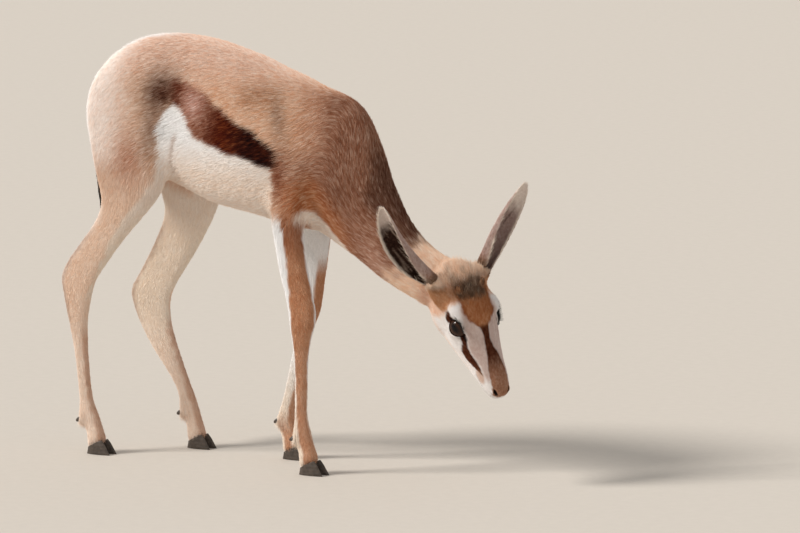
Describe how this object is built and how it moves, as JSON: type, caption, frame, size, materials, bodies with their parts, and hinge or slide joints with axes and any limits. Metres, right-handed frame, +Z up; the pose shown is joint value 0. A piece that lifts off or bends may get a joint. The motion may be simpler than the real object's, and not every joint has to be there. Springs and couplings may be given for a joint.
{
  "type": "springbok lamb",
  "caption": "Still, life-size model of a young springbok that stands and reaches down to graze, with its long ears up, horn buds, a banded flank and slender legs on cloven hooves",
  "frame": {"origin": "on the floor, under the middle of the whole model's box", "axes": "the animal faces +X, its left side is +Y and +Z is up"},
  "size_m": [0.776, 0.2032, 0.657],
  "materials": {
    "coat": "short cinnamon and cream hair with a dark flank band",
    "ear": "short pale hair, darker inside the cup",
    "tail": "thin hair with a dark brush",
    "eye": "wet and glossy, near black",
    "horn": "dull dark horn",
    "hoof": "dull dark horn"
  },
  "bodies": {
    "root": {"torso": "coat", "neck": "coat", "head": "coat", "fore_leg_left": "coat", "fore_leg_right": "coat", "hind_leg_left": "coat", "hind_leg_right": "coat", "ear_left": "ear", "ear_right": "ear", "tail": "tail", "eye_left": "eye", "eye_right": "eye", "horn_left": "horn", "horn_right": "horn", "fore_left_claw_inner": "hoof", "fore_left_claw_outer": "hoof", "fore_left_dewclaw_left": "hoof", "fore_left_dewclaw_right": "hoof", "fore_right_claw_inner": "hoof", "fore_right_claw_outer": "hoof", "fore_right_dewclaw_left": "hoof", "fore_right_dewclaw_right": "hoof", "hind_left_claw_inner": "hoof", "hind_left_claw_outer": "hoof", "hind_left_dewclaw_left": "hoof", "hind_left_dewclaw_right": "hoof", "hind_right_claw_inner": "hoof", "hind_right_claw_outer": "hoof", "hind_right_dewclaw_left": "hoof", "hind_right_dewclaw_right": "hoof"}
  },
  "joints": []
}
